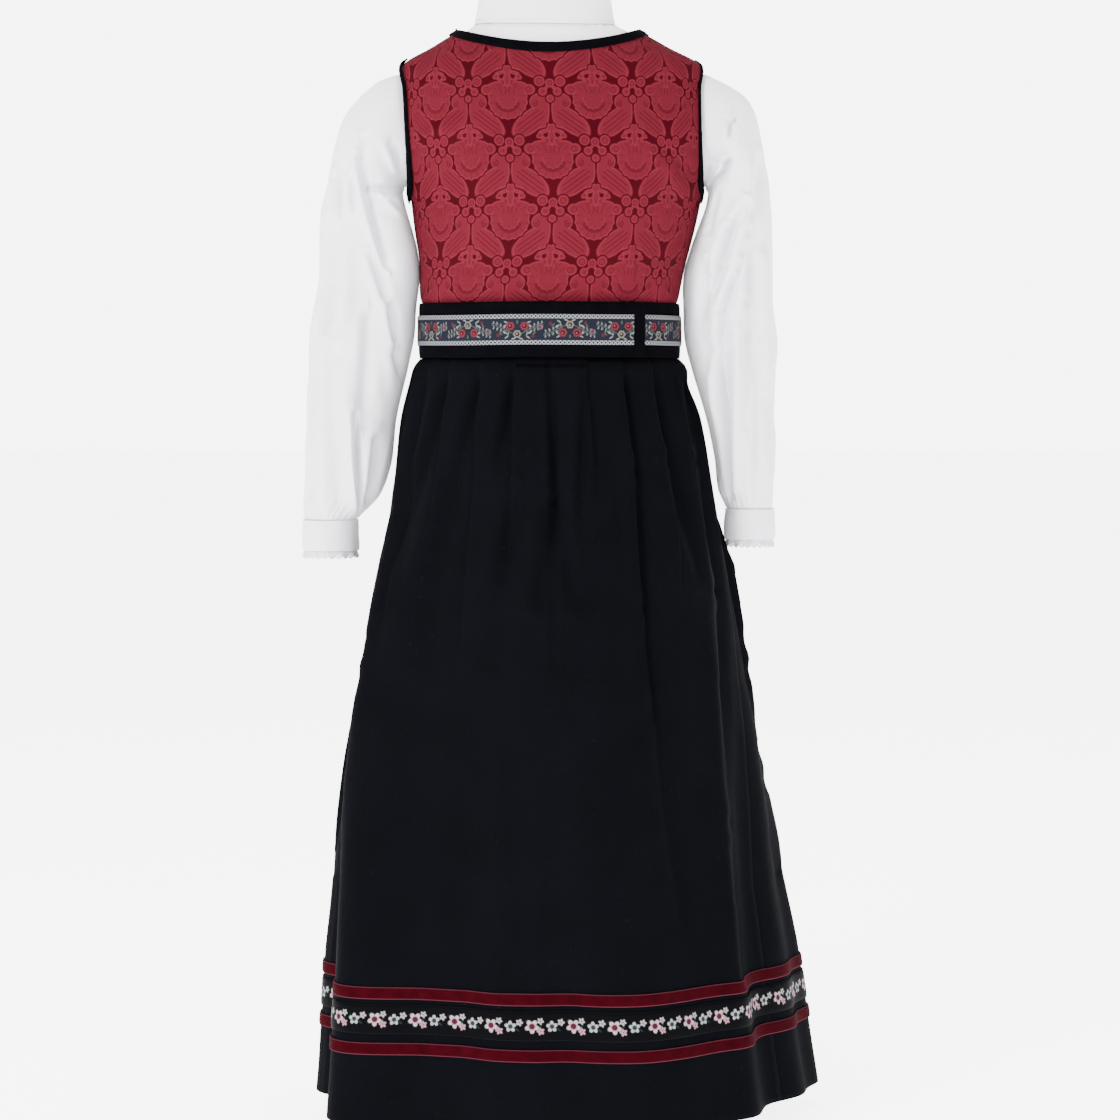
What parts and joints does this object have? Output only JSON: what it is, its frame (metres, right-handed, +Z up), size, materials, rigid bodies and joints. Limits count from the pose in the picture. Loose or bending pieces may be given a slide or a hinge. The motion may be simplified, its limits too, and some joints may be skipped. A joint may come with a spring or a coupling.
{
  "type": "bunad costume",
  "caption": "Child's folk costume in worn form: white shirt, red damask sleeveless bodice, ribbon-trimmed belt and full pleated black skirt with ribbons round its hem.",
  "frame": {"origin": "on the shoulders, midway between the two points where the bodice's neckline meets its shoulder seams", "axes": "+Z up, +Y the way the wearer faces, +X the wearer's right"},
  "size_m": [0.4426, 0.3399, 0.9338],
  "materials": {
    "white_cotton": "plain woven cotton",
    "white_button": "pearl white",
    "red_damask": "satin and matt woven damask",
    "black_velvet": "cut pile",
    "black_wool": "plain woven wool",
    "red_velvet": "cut pile ribbon",
    "woven_ribbon": "flowered woven ribbon",
    "dark_metal": "dull"
  },
  "bodies": {
    "root": {"shirt_back": "white_cotton", "shirt_front": "white_cotton", "shirt_collar": "white_cotton", "shirt_placket": "white_cotton", "shirt_sleeve_left": "white_cotton", "shirt_sleeve_right": "white_cotton", "shirt_cuff_left": "white_cotton", "shirt_cuff_right": "white_cotton", "cuff_lace_left": "white_cotton", "cuff_lace_right": "white_cotton", "shirt_button_1": "white_button", "shirt_button_2": "white_button", "collar_button": "white_button", "bodice_back": "red_damask", "bodice_front_left": "red_damask", "bodice_front_right": "red_damask", "bodice_neck_binding": "black_velvet", "bodice_armhole_binding_left": "black_velvet", "bodice_armhole_binding_right": "black_velvet", "bodice_hook_1": "dark_metal", "bodice_hook_2": "dark_metal", "bodice_hook_3": "dark_metal", "bodice_hook_4": "dark_metal", "bodice_hook_5": "dark_metal", "belt_band": "black_velvet", "belt_ribbon": "woven_ribbon", "skirt_waistband": "black_wool", "skirt_back": "black_wool", "skirt_front": "black_wool", "hem_band_upper": "red_velvet", "flower_ribbon": "woven_ribbon", "hem_band_lower": "red_velvet", "satin_strip": "black_velvet"}
  },
  "joints": []
}
